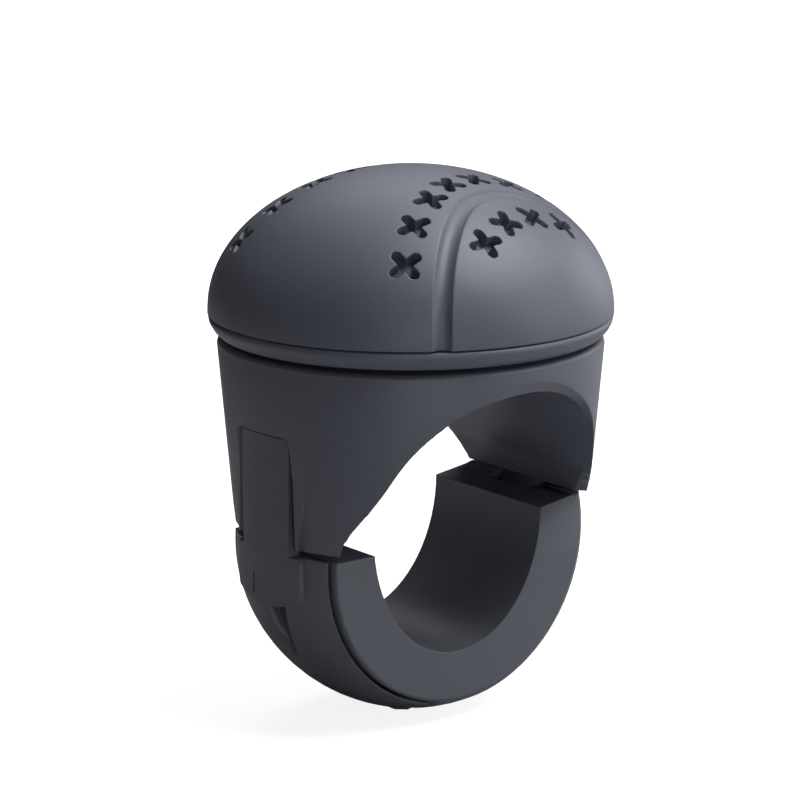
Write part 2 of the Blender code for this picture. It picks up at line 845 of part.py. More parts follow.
# Latch strap: a shell over the ring with a knuckle below, a tongue above and a thumb pad with a scoop
strap = lathe(
    "latch_strap",
    crown_profile(STRAP_CROWN, STRAP_HALF, 0.8, 12),
    CLAMP,
    steps=84,
    about_y=(0.0, CROWN_Z),
)
STRAP_TIP = arc((SEAT_X, SEAT_Z), PAST - 4.0, STRAP_END, STRAP_END, 1)[0]
shell = prism(
    "strap_outline",
    [(-PAST, RING_LEFT_TOP)]
    + arc(
        (SEAT_X, SEAT_Z),
        STRAP_IN,
        180.0 - math.degrees(math.asin((RING_LEFT_TOP - SEAT_Z) / STRAP_IN)),
        STRAP_END,
        30,
    )
    + [STRAP_TIP, (-PAST, STRAP_TIP[1])],
    "Y",
    -20,
    20,
)
join(strap, shell, "INTERSECT")
SCOOP_TOP = -9.5
SCOOP_TIP = -18.3
scoop = prism(
    "scoop",
    [
        (2.5, SCOOP_TOP),
        (1.1, -14.0),
        (-0.5, SCOOP_TIP),
        (-1.2, SCOOP_TIP),
        (-2.1, -14.0),
        (-3.0, SCOOP_TOP),
    ],
    "X",
    -STRAP_CROWN - 3.2,
    -STRAP_CROWN + 6.8,
)
scoop_floor = prism(
    "scoop_floor",
    [
        (-STRAP_CROWN - 3.2, SCOOP_TOP),
        (-STRAP_CROWN + 2.9, SCOOP_TOP),
        (-STRAP_CROWN + 3.6, -14.0),
        (-STRAP_CROWN + 4.7, SCOOP_TIP),
        (-STRAP_CROWN - 3.2, SCOOP_TIP),
    ],
    "Y",
    -6.0,
    6.0,
)
join(scoop, scoop_floor, "INTERSECT")
cut(strap, scoop)
tongue = raised_face(
    "tongue",
    [
        (-TONGUE_HALF + 0.5, TONGUE_TOP),
        (-TONGUE_HALF, TONGUE_TOP - 0.5),
        (-TONGUE_FOOT, RING_LEFT_TOP - 1),
        (TONGUE_FOOT, RING_LEFT_TOP - 1),
        (TONGUE_HALF, TONGUE_TOP - 0.5),
        (TONGUE_HALF - 0.5, TONGUE_TOP),
    ],
    TONGUE_FACE,
    RING_LEFT_TOP - 1,
    TONGUE_TOP,
    TONGUE_BACK,
)
pad = raised_face(
    "pad",
    [(PAD_HALF, RING_LEFT_TOP - 0.05), (-PAD_HALF, RING_LEFT_TOP - 0.05), (-PAD_HALF, -7.6)]
    + [
        (y, PAD_Z + 1.5 * (abs(y) / PAD_HALF) ** 2.2)
        for y in (-6.6, -5.0, -3.0, 0.0, 3.0, 5.0, 6.6)
    ]
    + [(PAD_HALF, -7.6)],
    TONGUE_FACE - 0.1,
    PAD_Z - 1,
    RING_LEFT_TOP,
    TONGUE_BACK - 0.4,
)
knuckle = rod("knuckle", LATCH, LATCH_KNUCKLE, -LATCH_HALF, LATCH_HALF, "Y", sides=28)
web = prism(
    "knuckle_web",
    [
        (-7.5, LATCH[1] - 0.75),
        (-4.2, LATCH[1] - 0.35),
        (LATCH[0], LATCH[1] - 0.35),
        (LATCH[0], LATCH[1] - LATCH_KNUCKLE + 0.05),
        (-5.2, LATCH[1] - 3.5),
        (-7.5, LATCH[1] - 3.0),
    ],
    "Y",
    -LATCH_HALF,
    LATCH_HALF,
)
add(strap, pad, tongue, knuckle, web)
cut(strap, rod("knuckle_eye", LATCH, HOLE_R, -LATCH_HALF - 1, LATCH_HALF + 1, "Y", sides=20))
slit = prism(
    "slit",
    [(2.05, -5.8), (2.5, -5.8), (2.6, -8.8), (2.15, -8.8)],
    "X",
    -STRAP_CROWN - 3.2,
    -TONGUE_FACE + 1.25,
)
cut(strap, slit)


# Joint axes: each moving piece hangs on an empty that stands on its axis
def axis_at(name, x, z):
    empty = bpy.data.objects.new(name, None)
    empty.location = (x * MM, 0.0, z * MM)
    KNOB.objects.link(empty)
    return empty


def hang(empty, parts):
    for part in parts:
        part.parent = empty
        part.matrix_parent_inverse = Matrix.Translation(empty.location).inverted()


hang(axis_at("knob_axis", 0.0, RACE_MID), [cover, base, outer_race, clip] + shields + screws)
hang(axis_at("cage_axis", 0.0, RACE_MID), [cage] + balls)
clamp_axis = axis_at("clamp_axis", *HINGE)
hang(clamp_axis, [ring, hinge_pin, latch_pin])
hang(axis_at("latch_axis", *LATCH), [strap])
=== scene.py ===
# %% [markdown]
# # A steering wheel spinner knob
# A hand knob for one-handed steering: a dome with ball-seam grooves turns on a hidden ball bearing,
# and under it an arched holder and a hinged clamp ring close round the rim of the wheel.
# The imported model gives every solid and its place. This lesson gives each of them its finish, and
# a finer surface where the facets of the solid would show.

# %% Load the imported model
import json

import bmesh
import bpy
import numpy as np
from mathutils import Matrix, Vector


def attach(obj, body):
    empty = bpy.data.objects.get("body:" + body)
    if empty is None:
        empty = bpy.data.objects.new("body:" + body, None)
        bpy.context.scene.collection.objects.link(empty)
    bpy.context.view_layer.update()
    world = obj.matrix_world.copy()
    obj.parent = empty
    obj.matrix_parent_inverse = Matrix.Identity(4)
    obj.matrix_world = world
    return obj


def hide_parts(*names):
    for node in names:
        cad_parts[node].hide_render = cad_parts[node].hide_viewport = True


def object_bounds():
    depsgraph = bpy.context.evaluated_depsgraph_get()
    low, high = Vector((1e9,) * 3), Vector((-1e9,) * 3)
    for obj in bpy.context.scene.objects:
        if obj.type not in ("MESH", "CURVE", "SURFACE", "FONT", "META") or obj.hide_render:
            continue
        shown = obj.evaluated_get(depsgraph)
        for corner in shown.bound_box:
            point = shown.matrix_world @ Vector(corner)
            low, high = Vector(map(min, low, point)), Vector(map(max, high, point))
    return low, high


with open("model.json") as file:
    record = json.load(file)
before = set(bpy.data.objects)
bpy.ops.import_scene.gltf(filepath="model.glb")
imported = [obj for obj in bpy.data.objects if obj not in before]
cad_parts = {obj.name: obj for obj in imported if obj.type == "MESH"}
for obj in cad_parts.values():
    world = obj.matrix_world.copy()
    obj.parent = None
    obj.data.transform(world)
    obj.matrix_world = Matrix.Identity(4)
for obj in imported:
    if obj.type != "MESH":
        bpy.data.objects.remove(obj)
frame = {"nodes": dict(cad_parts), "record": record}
cad_low, cad_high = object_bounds()
nodes = frame["nodes"]
MM = 0.001
print("nodes:", len(nodes), "size in mm:", np.round((np.array(cad_high) - np.array(cad_low)) / MM, 1))

# %% [markdown]
# Colours are written as the hex values that a painter would pick on a screen. The shader works with
# light, so one function turns each of the three values from the screen's curve to plain light.


# %% Colours and one helper for nodes
def linear(hex_code):
    """Screen value c to light: c / 12.92 below 0.04045, above it ((c + 0.055) / 1.055)^2.4."""
    c = np.array([int(hex_code[i : i + 2], 16) for i in (1, 3, 5)]) / 255.0
    light = np.where(c <= 0.04045, c / 12.92, ((c + 0.055) / 1.055) ** 2.4)
    return (*light.tolist(), 1.0)


def add_node(tree, kind, links=(), outs=(), **settings):
    """Adds a node, sets its properties or sockets, then links (socket, source) and (output, target)."""
    node = tree.nodes.new(kind)
    for name, value in settings.items():
        if hasattr(node, name):
            setattr(node, name, value)
        else:
            node.inputs[name.replace("_", " ")].default_value = value
    for socket, source in links:
        tree.links.new(source, node.inputs[socket])
    for output, target in outs:
        tree.links.new(node.outputs[output], target)
    return node


SHELL_GREY, CLAMP_GREY = "#4b4e5a", "#484b55"
print("greys in light:", [np.round(linear(grey)[:3], 4).tolist() for grey in (SHELL_GREY, CLAMP_GREY)])

# %% [markdown]
# The housings are moulded ABS. The mould is spark-eroded, so the plastic comes out with a fine, even
# grain of about 0.05 mm that turns a sharp glint into a soft sheen. Real grain is finer than a pixel
# here, so it is drawn about four times as coarse and very low. A slow drift in roughness stands for
# the way a large moulding cools unevenly. A Bevel node bends the light round each edge as a corner
# radius of 0.25 mm does, which gives moulded edges their thin bright line.


# %% Moulded plastic
def moulded_plastic(name, colour, roughness, grain_mm, grain_depth_mm, edge_mm):
    made = bpy.data.materials.new(name)
    made.use_nodes = True
    tree = made.node_tree
    shader = tree.nodes["Principled BSDF"]
    shader.inputs["Metallic"].default_value = 0.0
    shader.inputs["IOR"].default_value = 1.53
    place = add_node(tree, "ShaderNodeTexCoord")
    point = place.outputs["Object"]
    edge = add_node(tree, "ShaderNodeBevel", samples=6, Radius=edge_mm * MM)
    drift = add_node(tree, "ShaderNodeTexNoise", [("Vector", point)], Scale=90.0, Detail=2.0)
    grain = 1 / (grain_mm * MM)
    speck = add_node(tree, "ShaderNodeTexNoise", [("Vector", point)], Scale=grain, Detail=3.0)
    tint = add_node(tree, "ShaderNodeMix", [("Factor", speck.outputs["Fac"])], data_type="RGBA")
    base = np.array(linear(colour))
    tint.inputs[6].default_value = (*(base[:3] * 0.88).tolist(), 1.0)
    tint.inputs[7].default_value = (*(base[:3] * 1.12).tolist(), 1.0)
    tree.links.new(tint.outputs[2], shader.inputs["Base Color"])
    add_node(
        tree,
        "ShaderNodeMapRange",
        [("Value", drift.outputs["Fac"])],
        [("Result", shader.inputs["Roughness"])],
        To_Min=roughness - 0.05,
        To_Max=roughness + 0.05,
    )
    add_node(
        tree,
        "ShaderNodeBump",
        [("Height", speck.outputs["Fac"]), ("Normal", edge.outputs["Normal"])],
        [("Normal", shader.inputs["Normal"])],
        Strength=0.35,
        Distance=grain_depth_mm * MM,
    )
    return made


shell_abs = moulded_plastic("spark_grained_abs", SHELL_GREY, 0.52, 0.22, 0.03, 0.25)
clamp_abs = moulded_plastic("spark_grained_clamp_abs", CLAMP_GREY, 0.50, 0.22, 0.03, 0.25)
cage_nylon = moulded_plastic("moulded_natural_nylon", "#b79f74", 0.45, 0.5, 0.01, 0.1)
print("plastics:", shell_abs.name, clamp_abs.name, cage_nylon.name)

# %% [markdown]
# The pins, screws and nut are zinc plated steel: a bright, slightly milky metal with fine turning
# lines of about 0.1 mm left by the lathe. The bearing is hardened steel, ground smooth, so it is
# glossier and its lines are finer.


# %% Turned and plated metal
def turned_metal(name, colour, roughness, line_mm, depth_mm):
    made = bpy.data.materials.new(name)
    made.use_nodes = True
    tree = made.node_tree
    shader = tree.nodes["Principled BSDF"]
    shader.inputs["Metallic"].default_value = 1.0
    place = add_node(tree, "ShaderNodeTexCoord")
    stretch = add_node(
        tree, "ShaderNodeMapping", [("Vector", place.outputs["Object"])], Scale=(0.15, 0.15, 1.0)
    )
    lines = add_node(
        tree,
        "ShaderNodeTexNoise",
        [("Vector", stretch.outputs["Vector"])],
        Scale=1 / (line_mm * MM),
        Detail=2.0,
    )
    tint = add_node(tree, "ShaderNodeMix", [("Factor", lines.outputs["Fac"])], data_type="RGBA")
    base = np.array(linear(colour))
    tint.inputs[6].default_value = (*(base[:3] * 0.93).tolist(), 1.0)
    tint.inputs[7].default_value = (*np.minimum(base[:3] * 1.07, 1.0).tolist(), 1.0)
    tree.links.new(tint.outputs[2], shader.inputs["Base Color"])
    add_node(
        tree,
        "ShaderNodeMapRange",
        [("Value", lines.outputs["Fac"])],
        [("Result", shader.inputs["Roughness"])],
        To_Min=roughness - 0.06,
        To_Max=roughness + 0.06,
    )
    add_node(
        tree,
        "ShaderNodeBump",
        [("Height", lines.outputs["Fac"])],
        [("Normal", shader.inputs["Normal"])],
        Strength=0.3,
        Distance=depth_mm * MM,
    )
    return made


zinc = turned_metal("zinc_plated_turned_steel", "#c4c7cb", 0.36, 0.12, 0.01)
bearing_steel = turned_metal("ground_bearing_steel", "#cfd0d2", 0.2, 0.06, 0.004)
print("metals:", zinc.name, bearing_steel.name)

# %% [markdown]
# Every solid keeps the finish that its slot in the record names, so the pieces inside the knob are
# finished too, though the cover hides them.

# %% Finish of each slot
FINISH = {
    "graphite_shell": shell_abs,
    "graphite_clamp": clamp_abs,
    "zinc_plated_steel": zinc,
    "bearing_steel": bearing_steel,
    "nylon_cage": cage_nylon,
}
slot_of = {part["node"]: part["material_slot"] for part in frame["record"]["subparts"]}
body_of = {name: body for body, names in frame["record"]["behaviour"]["bodies"].items() for name in names}
for name, node in nodes.items():
    node.data.materials.clear()
    node.data.materials.append(FINISH[slot_of[name]])
print("finished nodes:", len(nodes))

# %% [markdown]
# The solids are loose triangles with flat facets. For the moulded and turned pieces, a copy is merged
# into one skin and shaded smooth up to its real edges. The copy then stands for the solid. Where a
# cut leaves long thin triangles, averaged normals waver and draw bands on the plastic. So each corner
# that lies on a known surface of the mould takes that surface's own normal, from its formula.


# %% Surfaces of the mould and their normals
# Sizes in mm that the solids have too: the barrel and its taper, the arch, the ball of the crown
BARREL_R, BARREL_TAPER = 24.75, 0.085
ARCH_R, ARCH_Z = 20.0, 0.6
CROWN_X, CROWN_Z = -0.3, -3.8
SEAT_X, SEAT_Z, SEAT_R = -0.3, -3.9, 21.55
BORE_X, BORE_HALF_X, BORE_HALF_Z = -0.8, 14.6, 18.4


def upright(radius, slope=0.0):
    """How far a point is off the cone r = radius + slope z about Z, and the normal (x/r, y/r, -slope)."""

    def surface(p):
        r = np.hypot(p[:, 0], p[:, 1])
        normal = np.column_stack([p[:, 0] / r, p[:, 1] / r, np.full(len(p), -slope)])
        return np.abs(r - radius - slope * p[:, 2]), normal

    return surface


def ball(x, z, radius):
    """Sphere about (x, 0, z): its normal points away from the centre."""

    def surface(p):
        off = p - np.array([x, 0.0, z])
        return np.abs(np.linalg.norm(off, axis=1) - radius), off

    return surface


def tube(x, z, half_x, half_z, way):
    """Oval tube along Y, with a normal way ((x - x0)/a^2, 0, (z - z0)/b^2): way is -1 for a bore."""

    def surface(p):
        u, v = (p[:, 0] - x) / half_x, (p[:, 2] - z) / half_z
        normal = way * np.column_stack([u / half_x, np.zeros(len(p)), v / half_z])
        return np.abs(np.hypot(u, v) - 1) * min(half_x, half_z), normal

    return surface


def bump(value, middle, spread):
    """One at the middle and falling to nothing on both sides: exp(-((value - middle) / spread)^2)."""
    return np.exp(-(((value - middle) / spread) ** 2))


def mouth_rows(t):
    """Inner edge of the arch's mouth and a point out along its flare, at each angle t round the arch.

    The mouth is ruled: with s degrees from the crown, it runs from the arch's radius a(s) straight to
    a(s) + w(s), where it meets the barrel at y = sqrt(r(z)^2 - x^2).
    """
    s = np.abs(np.degrees(np.arctan2(np.cos(t), np.sin(t))))
    foot = bump(s, 97.0, 14.0)
    near = ARCH_R - 0.65 * bump(s, 68.0, 15.0)
    wide = 0.3 + 1.2 * bump(s, 0.0, 30.0) + 1.3 * foot
    deep = 1.3 + 0.4 * foot
    edge = near + wide
    height = ARCH_Z + edge * np.sin(t)
    leave = np.sqrt((BARREL_R + BARREL_TAPER * height) ** 2 - (edge * np.cos(t)) ** 2)
    inner = np.stack([near * np.cos(t), leave - deep, ARCH_Z + near * np.sin(t)], -1)
    outer = np.stack([edge * np.cos(t), leave, height], -1)
    return inner, outer


def arch_mouth(p):
    """Off the ruled mouth, and its normal: the cross product of its two directions, turned outward."""
    side = np.where(p[:, 1] < 0, -1.0, 1.0)[:, None] * np.array([0, 1, 0]) + np.array([1, 0, 1])
    t = np.arctan2(p[:, 2] - ARCH_Z, p[:, 0])
    inner, outer = mouth_rows(t)
    ahead_in, ahead_out = mouth_rows(t + 1e-3)
    across = (outer - inner) * side
    normal = np.cross(across, (ahead_in + ahead_out - inner - outer) * side)
    normal /= np.linalg.norm(normal, axis=1, keepdims=True)
    normal *= np.sign(normal[:, 1] * side[:, 1])[:, None]
    return np.abs(np.sum((p - inner * side) * normal, axis=1)), normal


def arch_bore(p):
    """The arch's own wall, a tube along Y whose normal points to its axis."""
    off = (p - np.array([0, 0, ARCH_Z])) * np.array([1, 0, 1])
    r = np.linalg.norm(off, axis=1)
    t = np.arctan2(off[:, 2], off[:, 0])
    wall, later = mouth_rows(t)[0], mouth_rows(t + 1e-3)[0]
    along = (later - wall) * np.array([1, 0, 1])
    normal = np.column_stack([-along[:, 2], np.zeros(len(p)), along[:, 0]])
    return np.abs(r - np.hypot(wall[:, 0], wall[:, 2] - ARCH_Z)), normal


MOULD = {
    "holder": [upright(BARREL_R, BARREL_TAPER), upright(25.5), arch_mouth, arch_bore],
    "latch_strap": [upright(25.55), upright(25.45), ball(0.0, CROWN_Z, 24.8)],
    "clamp_ring": [
        ball(CROWN_X, CROWN_Z, BARREL_R),
        tube(BORE_X, 0.0, BORE_HALF_X, BORE_HALF_Z, -1),
        tube(SEAT_X, SEAT_Z, SEAT_R, SEAT_R, 1),
    ],
}
print("surfaces:", {name: len(found) for name, found in MOULD.items()})


# %% Merge and smooth a copy of a solid
def mould_normals(mesh, surfaces, off=0.07, lean=22.0):
    """Gives each corner the normal of the first surface that it lies on and that its face leans with."""
    corner = np.zeros(len(mesh.loops) * 3)
    mesh.corner_normals.foreach_get("vector", corner)
    corner = corner.reshape(-1, 3)
    point = np.array([vertex.co for vertex in mesh.vertices]) / MM
    facing = np.array([face.normal for face in mesh.polygons])
    own = np.array([loop.vertex_index for loop in mesh.loops])
    face = np.repeat(np.arange(len(facing)), [face.loop_total for face in mesh.polygons])
    free = np.ones(len(own), bool)
    for surface in surfaces:
        miss, normal = surface(point[own])
        normal = normal / np.linalg.norm(normal, axis=1, keepdims=True)
        fits = free & (miss < off) & (np.sum(normal * facing[face], axis=1) > np.cos(np.radians(lean)))
        corner[fits] = normal[fits]
        free &= ~fits
    mesh.normals_split_custom_set(corner.tolist())
    return round(1 - free.mean(), 2)


def moulded_copy(name, angle=30.0):
    mesh = nodes[name].data.copy()
    mesh.name = name + "_skin"
    bm = bmesh.new()
    bm.from_mesh(mesh)
    bmesh.ops.remove_doubles(bm, verts=bm.verts, dist=0.002 * MM)
    bm.to_mesh(mesh)
    bm.free()
    skin = bpy.data.objects.new(name + "_skin", mesh)
    bpy.context.scene.collection.objects.link(skin)
    mesh.shade_smooth()
    mesh.set_sharp_from_angle(angle=np.radians(angle))
    if name in MOULD:
        print(name, "share of corners on the mould's surfaces:", mould_normals(mesh, MOULD[name]))
    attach(skin, body_of[name])
    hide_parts(name)
    print(skin.name, len(mesh.polygons), "faces")
    return skin


for name in sorted(nodes):
    if name != "knob_cover":
        moulded_copy(name)

# %% [markdown]
# The dome is half an ellipsoid with two U-shaped seams and rows of cross stitches sunk into it. It
# could be cut with Booleans, but a mould for it is engraved, and engraved edges are slightly soft.
# So the whole dome is one height field: every point is pushed in along its normal by the depth of
# whatever it lies in. The shell and the seams have the sizes of the solid cover. The crosses don't
# quite: they are turned, placed and sunk as in the photograph, and the solid's are up to 44 degrees
# and 0.6 mm off these.

# %% Sizes of the dome and its engraving
DOME_R, DOME_H, DOME_Z, SEAM_Z, WALL = 28.1, 19.6, 28.2, 27.95, 2.4
SEAM_TURNS = (-77.3, 102.7)
SEAM_WIDE, SEAM_TALL, SEAM_POWER = 42.0, 52.0, 2.45
GROOVE_R, GROOVE_OUT = 1.56, 0.86
LIP = np.sqrt(GROOVE_R**2 - GROOVE_OUT**2)
CROSS_LONG, CROSS_WIDE, CROSS_DEEP, CROSS_WALL = 5.0, 1.35, 1.7, 0.12
# Each cross has its degrees round from the middle of the seam, and its degrees up
CROSS_SPOTS = ((52.3, 23.9), (49.3, 38.6), (39.0, 53.0), (17.5, 63.6), (23.0, 30.3), (8.6, 37.0))


def on_dome(azimuth, elevation):
    """Point and normal of the ellipsoid where a ray from the middle of its foot leaves it.

    With t = tan(elevation), the ray meets x^2/R^2 + y^2/R^2 + z^2/H^2 = 1 at a distance
    1 / sqrt(1/R^2 + t^2/H^2) from the axis, and the normal is (x/R^2, y/R^2, z/H^2) made unit.
    """
    t = np.tan(elevation)
    ring = 1 / np.sqrt(1 / DOME_R**2 + t**2 / DOME_H**2)
    point = np.stack([ring * np.cos(azimuth), ring * np.sin(azimuth), ring * t], -1)
    normal = point / np.array([DOME_R**2, DOME_R**2, DOME_H**2])
    return point, normal / np.linalg.norm(normal, axis=-1, keepdims=True)


print("crosses:", 2 * 2 * len(CROSS_SPOTS))


# %% Depth of the engraving at each point
def seam_line(turn, count=420):
    """Superellipse in angles, from foot to foot: azimuth W cos(a)^(2/p), elevation T sin(a)^(2/p)."""
    a = np.linspace(0, np.pi, count)
    wide = np.sign(np.cos(a)) * np.abs(np.cos(a)) ** (2 / SEAM_POWER)
    tall = np.abs(np.sin(a)) ** (2 / SEAM_POWER)
    line = on_dome(np.radians(turn + SEAM_WIDE * wide), np.radians(SEAM_TALL * tall))[0]
    tail = line[[0, -1]] - np.array([0, 0, 1.0])
    return np.concatenate([tail[:1], line, tail[1:]])


def distance_to(points, line):
    """Least distance of each point to the segments of a line, one segment after another."""
    best = np.full(len(points), 1e9)
    for a, b in zip(line[:-1:2], line[2::2]):
        along = b - a
        t = np.clip((points - a) @ along / (along @ along), 0, 1)
        best = np.minimum(best, np.linalg.norm(points - a - t[:, None] * along, axis=1))
    return best


def groove_depth(distance, soft=0.03):
    """Round-bottomed channel: sqrt(r^2 - d^2) less the height of the cutter's centre, with soft lips."""
    sunk = np.sqrt(np.maximum(GROOVE_R**2 - distance**2, 0)) - GROOVE_OUT
    return 0.5 * (sunk + np.sqrt(sunk**2 + soft**2)) * (distance < GROOVE_R + 0.3)


def cross_gap(points, spot_point, spot_normal, seam):
    """Signed distance, negative inside, to two capsules at 45 degrees to the seam's nearest stretch."""
    nearest = np.argmin(np.linalg.norm(seam - spot_point, axis=1))
    along = seam[min(nearest + 1, len(seam) - 1)] - seam[max(nearest - 1, 0)]
    along -= spot_normal * (along @ spot_normal)
    along /= np.linalg.norm(along)
    across = np.cross(along, spot_normal)
    off = points - spot_point
    u, v = off @ across, off @ along
    near = (np.hypot(u, v) < CROSS_LONG) & (np.abs(off @ spot_normal) < 3)
    a, b = (u + v) / np.sqrt(2), (v - u) / np.sqrt(2)
    reach, half = CROSS_LONG / 2 - CROSS_WIDE / 2, CROSS_WIDE / 2
    one = np.hypot(np.maximum(np.abs(a) - reach, 0), b) - half
    two = np.hypot(np.maximum(np.abs(b) - reach, 0), a) - half
    return np.where(near, np.minimum(one, two), 9.0)


def engraving(points):
    """Least distance to a seam's middle line, and least signed distance to a cross."""
    seam, cross = np.full(len(points), 9.0), np.full(len(points), 9.0)
    for turn in SEAM_TURNS:
        line = seam_line(turn)
        seam = np.minimum(seam, distance_to(points, line))
        for side in (-1, 1):
            for wide, tall in CROSS_SPOTS:
                at, out = on_dome(np.radians(turn + side * wide), np.radians(tall))
                cross = np.minimum(cross, cross_gap(points, at, out, line))
    return seam, cross


# %% [markdown]
# A grid in azimuth and height crowds its points at the top. Here a square grid is bent into a disc,
# which keeps its cells about equal, and the disc is laid over the dome. The grid is coarse where the
# dome is plain. It is halved near a seam or a cross, and once more along their lips, which makes
# those crisp.


# %% The dome's outer surface
def square_to_disc(u, v):
    """Concentric map: a ring of the square at distance s becomes the circle of radius s."""
    s = np.where(np.abs(u) > np.abs(v), u, v)
    other = np.where(np.abs(u) > np.abs(v), v, u)
    ratio = np.divide(other, s, out=np.zeros_like(s), where=s != 0)
    turn = np.pi / 4 * ratio
    x = np.where(np.abs(u) > np.abs(v), s * np.cos(turn), s * np.sin(turn))
    y = np.where(np.abs(u) > np.abs(v), s * np.sin(turn), s * np.cos(turn))
    return x, y


def plain_dome(cells):
    """A disc point at radius q and azimuth f is laid at R sin(q pi/2), f and height H cos(q pi/2)."""
    line = np.linspace(-1, 1, cells + 1)
    u, v = np.meshgrid(line, line, indexing="ij")
    x, y = square_to_disc(u.ravel(), v.ravel())
    q, f = np.minimum(np.hypot(x, y), 1.0) * np.pi / 2, np.arctan2(y, x)
    level = DOME_R * np.sin(q)
    points = np.stack([level * np.cos(f), level * np.sin(f), DOME_H * np.cos(q)], -1)
    ids = np.arange(len(points)).reshape(cells + 1, cells + 1)
    quads = np.stack([ids[:-1, :-1], ids[1:, :-1], ids[1:, 1:], ids[:-1, 1:]], -1).reshape(-1, 4)
    return points, quads


def halve(bm, wanted):
    """Splits every edge of the wanted faces in the middle."""
    edges = dict.fromkeys(edge for face, want in zip(bm.faces, wanted) if want for edge in face.edges)
    bmesh.ops.subdivide_edges(bm, edges=list(edges), cuts=1, use_grid_fill=True)
    bmesh.ops.triangulate(bm, faces=[face for face in bm.faces if len(face.verts) > 4])


def dome_surface(cells):
    """The plain dome halved near the engraving, put back on the ellipsoid and pushed in by the depth."""
    points, quads = plain_dome(cells)
    mesh = bpy.data.meshes.new("plain_dome")
    mesh.from_pydata(points.tolist(), [], quads.tolist())
    bm = bmesh.new()
    bm.from_mesh(mesh)
    bpy.data.meshes.remove(mesh)
    for seam_at, seam_reach, cross_reach in ((0.0, 2.2, 1.0), (LIP, 0.14, 0.3)):
        middle = np.array([face.calc_center_median() for face in bm.faces])
        seam, cross = engraving(middle)
        halve(bm, (np.abs(seam - seam_at) < seam_reach) | (np.abs(cross) < cross_reach))
    points = np.array([vertex.co for vertex in bm.verts])
    points[:, 2] = np.maximum(points[:, 2], 0)
    scale = np.array([DOME_R, DOME_R, DOME_H])
    points /= np.linalg.norm(points / scale, axis=1, keepdims=True)
    normals = points / scale**2
    normals /= np.linalg.norm(normals, axis=1, keepdims=True)
    seam, cross = engraving(points)
    inside = np.clip((0.04 - cross) / CROSS_WALL, 0, 1)
    depth = np.maximum(groove_depth(seam), CROSS_DEEP * inside**2 * (3 - 2 * inside))
    bm.verts.ensure_lookup_table()
    edge = np.array([vertex.index for vertex in bm.verts if vertex.is_boundary])
    edge = edge[np.argsort(np.arctan2(points[edge, 1], points[edge, 0]))]
    faces = [[vertex.index for vertex in face.verts] for face in bm.faces]
    bm.free()
    return points - normals * depth[:, None] + np.array([0, 0, DOME_Z]), faces, edge


def ring_of(rim_points, radius, height):
    """The rim's own azimuths carried to another radius and height."""
    f = np.arctan2(rim_points[:, 1], rim_points[:, 0])
    return np.stack([radius * np.cos(f), radius * np.sin(f), np.full(len(f), height)], -1)


outer, faces, rim = dome_surface(172)
foot = outer[rim]
in_r, in_h = DOME_R - WALL, DOME_H - WALL
rings = [np.column_stack([foot[:, :2], np.full(len(rim), SEAM_Z)]), ring_of(foot, in_r, SEAM_Z)]
for t in np.linspace(0, np.pi / 2, 9)[:-1]:
    rings.append(ring_of(foot, in_r * np.cos(t), DOME_Z + in_h * np.sin(t)))
count = len(rim)
base = len(outer) + np.arange(len(rings) * count).reshape(len(rings), count)
walls = [rim] + list(base)
bands = [np.stack([a, np.roll(a, -1), np.roll(b, -1), b], -1) for a, b in zip(walls, walls[1:])]
top = len(outer) + len(rings) * count
cap = np.stack([base[-1], np.roll(base[-1], -1), np.full(count, top)], -1)
points = np.concatenate([outer, *rings, [[0, 0, DOME_Z + in_h]]]) * MM
mesh = bpy.data.meshes.new("knob_cover_skin")
mesh.from_pydata(points.tolist(), [], faces + np.concatenate(bands).tolist() + cap.tolist())
mesh.update()
bm = bmesh.new()
bm.from_mesh(mesh)
bmesh.ops.recalc_face_normals(bm, faces=bm.faces)
bm.to_mesh(mesh)
bm.free()
mesh.shade_smooth()
mesh.set_sharp_from_angle(angle=np.radians(60))
cover_skin = bpy.data.objects.new("knob_cover_skin", mesh)
bpy.context.scene.collection.objects.link(cover_skin)
mesh.materials.append(shell_abs)
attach(cover_skin, "knob")
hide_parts("knob_cover")
print("dome:", len(mesh.polygons), "faces,", len(rim), "points round the foot")

# %% [markdown]
# The knob stands on a plain pale floor. Near the knob the camera sees it glow a little below white,
# and the light that falls on it fills the rest, so it reads as paper except where the knob keeps the
# light away. Farther out less light falls, so there it glows fully white.


# %% Floor
def stage_floor(name, radius, height):
    mesh = bpy.data.meshes.new(name)
    turn = np.linspace(0, 2 * np.pi, 64, endpoint=False)
    ring = np.column_stack([radius * np.cos(turn), radius * np.sin(turn), np.full(64, height)])
    mesh.from_pydata(ring.tolist(), [], [list(range(64))])
    made = bpy.data.objects.new(name, mesh)
    bpy.context.scene.collection.objects.link(made)
    paint = bpy.data.materials.new("white_paper")
    paint.use_nodes = True
    tree = paint.node_tree
    tree.nodes.clear()
    out = add_node(tree, "ShaderNodeOutputMaterial")
    matte = add_node(tree, "ShaderNodeBsdfDiffuse", Color=(0.4, 0.4, 0.4, 1))
    seen = add_node(tree, "ShaderNodeLightPath")
    place = add_node(tree, "ShaderNodeNewGeometry")
    far = add_node(tree, "ShaderNodeVectorMath", [(0, place.outputs["Position"])], operation="LENGTH")
    level = add_node(
        tree,
        "ShaderNodeMapRange",
        [("Value", far.outputs["Value"])],
        From_Min=0.12,
        From_Max=0.45,
        To_Min=0.86,
        To_Max=1.0,
    )
    share = add_node(
        tree,
        "ShaderNodeMath",
        [(0, seen.outputs["Is Camera Ray"]), (1, level.outputs[0])],
        operation="MULTIPLY",
    )
    glow = add_node(tree, "ShaderNodeEmission", [("Strength", share.outputs[0])], Color=(1, 1, 1, 1))
    add_node(
        tree,
        "ShaderNodeAddShader",
        [(0, matte.outputs[0]), (1, glow.outputs[0])],
        [(0, out.inputs["Surface"])],
    )
    mesh.materials.append(paint)
    return made


